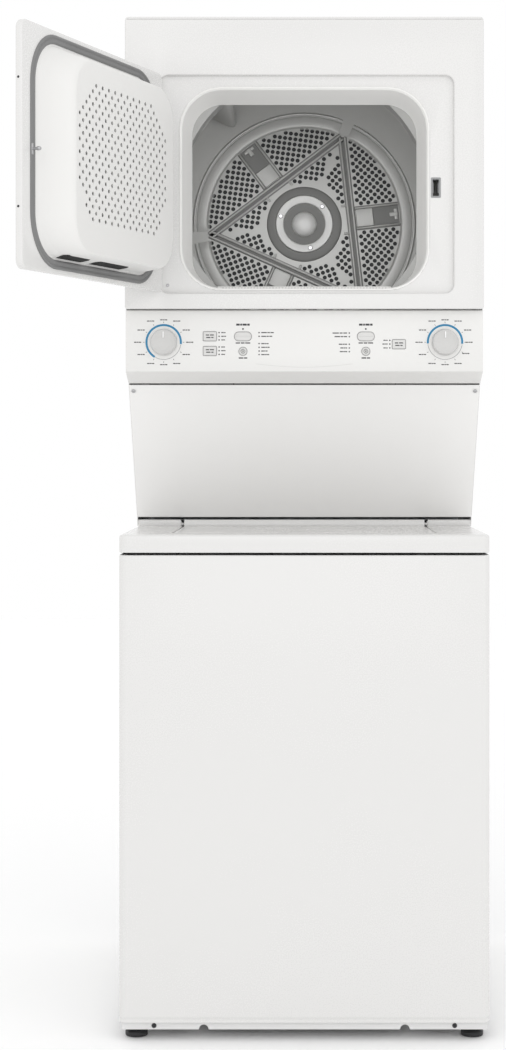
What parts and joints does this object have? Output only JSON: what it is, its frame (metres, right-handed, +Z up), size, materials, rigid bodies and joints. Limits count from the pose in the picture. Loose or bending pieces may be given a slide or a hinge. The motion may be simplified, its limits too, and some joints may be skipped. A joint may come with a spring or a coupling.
{
  "type": "washer dryer stack",
  "caption": "Laundry centre: front-loading dryer above a top-loading washer in one white cabinet, door open on a perforated drum.",
  "frame": {"origin": "on the floor under the middle of the box round the whole machine as drawn, with its dryer door swung open; the cabinet's own middle is 67.88 mm to the right of it and 200 mm behind it", "axes": "X to the right seen from the front, Y from the front to the back, Z up; the fronts face -Y"},
  "size_m": [0.8218, 1.2, 1.92],
  "materials": {
    "white_enamel": "white appliance enamel",
    "panel_enamel": "satin off-white enamel",
    "white_plastic": "moulded white plastic",
    "tub_plastic": "moulded grey-white plastic",
    "black_plastic": "moulded black plastic",
    "grey_gasket": "grey foam and felt seal",
    "black_rubber": "ribbed belt rubber",
    "drum_steel": "powder-coated drum steel",
    "stainless": "brushed stainless",
    "galvanised": "galvanised sheet",
    "dark_motor": "dark enamelled motor",
    "cast_alloy": "die-cast alloy",
    "shaft_steel": "turned steel"
  },
  "bodies": {
    "cabinet": {"washer_front_panel": "white_enamel", "washer_side_left": "white_enamel", "washer_side_right": "white_enamel", "washer_back_panel": "galvanised", "base_frame": "galvanised", "leveling_feet": "black_plastic", "washer_top_deck": "white_enamel", "outer_tub": "tub_plastic", "tub_cover_ring": "tub_plastic", "gearcase": "cast_alloy", "wash_motor": "dark_motor", "wash_belt": "black_rubber", "suspension_rods": "shaft_steel", "drain_pump": "black_plastic", "water_valve": "black_plastic", "upper_side_left": "white_enamel", "upper_side_right": "white_enamel", "upper_back_panel": "galvanised", "dryer_top_panel": "white_enamel", "sloped_panel": "panel_enamel", "dryer_front_panel": "white_enamel", "opening_bezel": "white_plastic", "front_bulkhead": "drum_steel", "rear_bulkhead": "galvanised", "heater_box": "galvanised", "dryer_motor": "dark_motor", "blower_housing": "tub_plastic", "exhaust_pipe": "galvanised", "drive_shelf": "galvanised", "drum_belt": "black_rubber", "console_panel": "white_plastic", "door_catch": "tub_plastic", "door_hinges": "shaft_steel"},
    "door": {"door_outer_panel": "white_enamel", "door_gasket": "grey_gasket", "door_inner_liner": "white_plastic", "door_strike": "shaft_steel"},
    "lid": {"washer_lid": "white_enamel"},
    "dryer_drum": {"drum_shell": "drum_steel", "drum_back": "drum_steel", "drum_vanes": "drum_steel", "drum_shaft": "shaft_steel"},
    "dryer_rotor": {"dryer_motor_pulley": "shaft_steel", "blower_wheel": "black_plastic"},
    "idler": {"idler_wheel": "black_plastic"},
    "basket": {"wash_basket": "stainless"},
    "agitator_unit": {"agitator": "white_plastic", "drive_shaft": "shaft_steel", "drive_pulley": "cast_alloy"},
    "wash_rotor": {"motor_pulley": "shaft_steel"},
    "washer_dial": {"washer_knob": "white_plastic"},
    "dryer_dial": {"dryer_knob": "white_plastic"},
    "filter": {"lint_filter": "tub_plastic"},
    "washer_option_key": {"washer_option_button": "white_plastic"},
    "washer_temperature_key": {"washer_temperature_button": "white_plastic"},
    "washer_start_key": {"washer_start_button": "white_plastic"},
    "washer_cancel_key": {"washer_cancel_button": "white_plastic"},
    "dryer_start_key": {"dryer_start_button": "white_plastic"},
    "dryer_cancel_key": {"dryer_cancel_button": "white_plastic"},
    "dryer_signal_key": {"dryer_signal_button": "white_plastic"}
  },
  "joints": [
    {"name": "door_swing", "type": "hinge", "parent": "cabinet", "child": "door", "pos_m": [-0.21112, -0.068, 1.6], "axis": [0, 0, -1], "range_deg": [-110.5, 50]},
    {"name": "lid_lift", "type": "hinge", "parent": "cabinet", "child": "lid", "pos_m": [0.06788, 0.236, 0.9386], "axis": [-1, 0, 0], "range_deg": [0, 50]},
    {"name": "drum_spin", "type": "hinge", "parent": "cabinet", "child": "dryer_drum", "pos_m": [0.06788, 0.2, 1.583], "axis": [0, 1, 0], "continuous": true},
    {"name": "dryer_motor_spin", "type": "hinge", "parent": "cabinet", "child": "dryer_rotor", "pos_m": [0.19788, 0.3, 1.13], "axis": [0, 1, 0], "continuous": true},
    {"name": "idler_spin", "type": "hinge", "parent": "cabinet", "child": "idler", "pos_m": [0.00788, 0.26, 1.14], "axis": [0, 1, 0], "continuous": true},
    {"name": "basket_spin", "type": "hinge", "parent": "cabinet", "child": "basket", "pos_m": [0.06788, 0.13, 0.5], "axis": [0, 0, 1], "continuous": true},
    {"name": "agitator_turn", "type": "hinge", "parent": "cabinet", "child": "agitator_unit", "pos_m": [0.06788, 0.13, 0.5], "axis": [0, 0, 1], "continuous": true},
    {"name": "wash_motor_spin", "type": "hinge", "parent": "cabinet", "child": "wash_rotor", "pos_m": [0.23788, 0.13, 0.2], "axis": [0, 0, 1], "continuous": true},
    {"name": "washer_dial_turn", "type": "hinge", "parent": "cabinet", "child": "washer_dial", "pos_m": [-0.20212, -0.05, 1.298], "axis": [0, -1, 0], "continuous": true},
    {"name": "dryer_dial_turn", "type": "hinge", "parent": "cabinet", "child": "dryer_dial", "pos_m": [0.33788, -0.05, 1.298], "axis": [0, -1, 0], "continuous": true},
    {"name": "filter_lift", "type": "slide", "parent": "cabinet", "child": "filter", "axis": [0, 0, 1], "range_m": [0, 0.165]},
    {"name": "washer_option_press", "type": "slide", "parent": "cabinet", "child": "washer_option_key", "axis": [0, 1, 0], "range_m": [0, 0.0015], "stiffness_N_per_m": 500},
    {"name": "washer_temperature_press", "type": "slide", "parent": "cabinet", "child": "washer_temperature_key", "axis": [0, 1, 0], "range_m": [0, 0.0015], "stiffness_N_per_m": 500},
    {"name": "washer_start_press", "type": "slide", "parent": "cabinet", "child": "washer_start_key", "axis": [0, 1, 0], "range_m": [0, 0.0015], "stiffness_N_per_m": 500},
    {"name": "washer_cancel_press", "type": "slide", "parent": "cabinet", "child": "washer_cancel_key", "axis": [0, 1, 0], "range_m": [0, 0.0015], "stiffness_N_per_m": 500},
    {"name": "dryer_start_press", "type": "slide", "parent": "cabinet", "child": "dryer_start_key", "axis": [0, 1, 0], "range_m": [0, 0.0015], "stiffness_N_per_m": 500},
    {"name": "dryer_cancel_press", "type": "slide", "parent": "cabinet", "child": "dryer_cancel_key", "axis": [0, 1, 0], "range_m": [0, 0.0015], "stiffness_N_per_m": 500},
    {"name": "dryer_signal_press", "type": "slide", "parent": "cabinet", "child": "dryer_signal_key", "axis": [0, 1, 0], "range_m": [0, 0.0015], "stiffness_N_per_m": 500}
  ],
  "couplings": [
    {"joint": "dryer_motor_spin", "follows": "drum_spin", "ratio": 22.379},
    {"joint": "idler_spin", "follows": "drum_spin", "ratio": 12.383},
    {"joint": "wash_motor_spin", "follows": "agitator_turn", "ratio": 3.1525}
  ]
}
